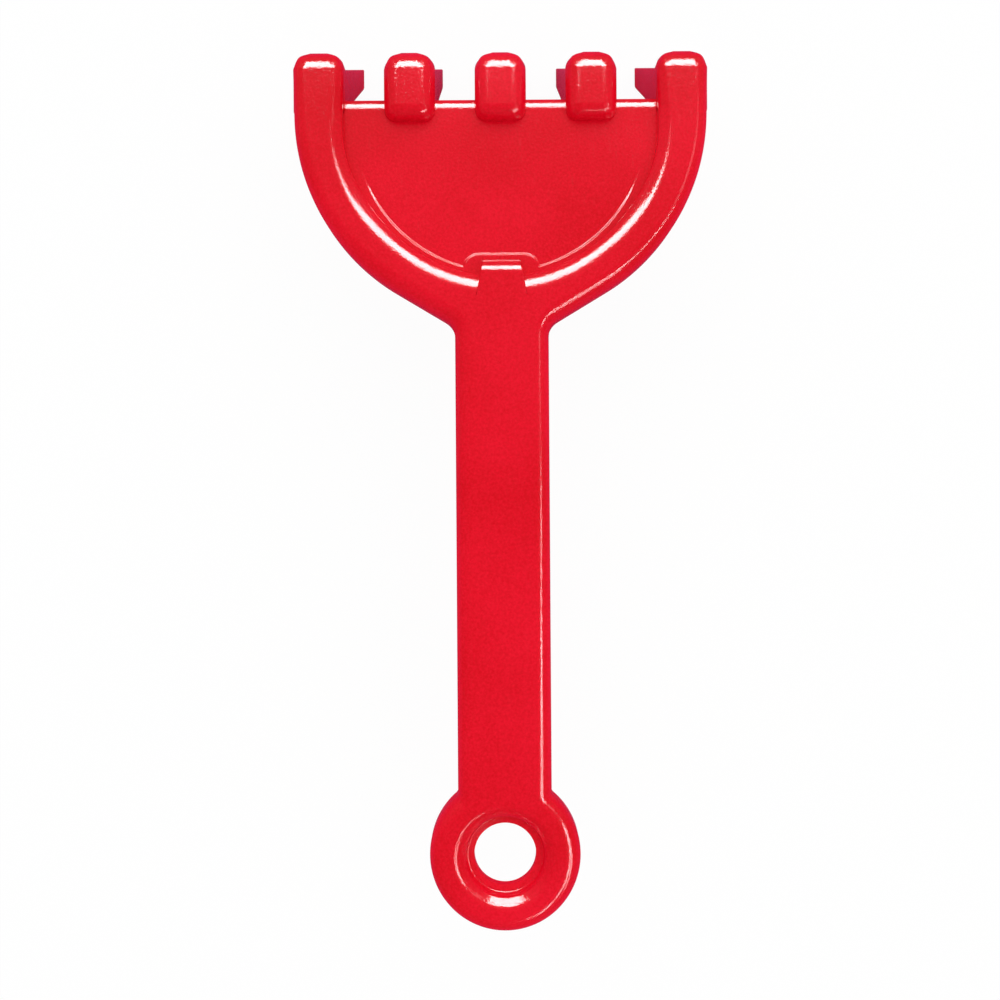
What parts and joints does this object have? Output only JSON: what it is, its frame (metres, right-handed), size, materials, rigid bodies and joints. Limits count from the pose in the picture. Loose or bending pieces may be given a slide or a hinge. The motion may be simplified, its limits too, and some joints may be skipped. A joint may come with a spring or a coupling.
{
  "type": "sand rake",
  "caption": "Toy sand rake: flat handle with a hanging ring, round-shouldered head with a raised rim and sunken panel, and short tines that lean forward.",
  "frame": {"origin": "centre of the hanging hole, halfway through the hole's wall", "axes": "+Y along the handle to the head, +Z out of the front face, +X to the right seen from the front; the tines point down and forward"},
  "size_m": [0.1142, 0.2547, 0.0413],
  "materials": {
    "moulding": "glossy bright red moulded plastic with a faint mottle and fine scratches"
  },
  "bodies": {
    "root": {"hanging_ring": "moulding", "handle": "moulding", "neck": "moulding", "neck_tab": "moulding", "rim_left": "moulding", "rim_right": "moulding", "head_panel": "moulding", "lip_1": "moulding", "lip_2": "moulding", "lip_3": "moulding", "lip_4": "moulding", "tine_1": "moulding", "tine_2": "moulding", "tine_3": "moulding", "tine_4": "moulding", "tine_5": "moulding"}
  },
  "joints": []
}
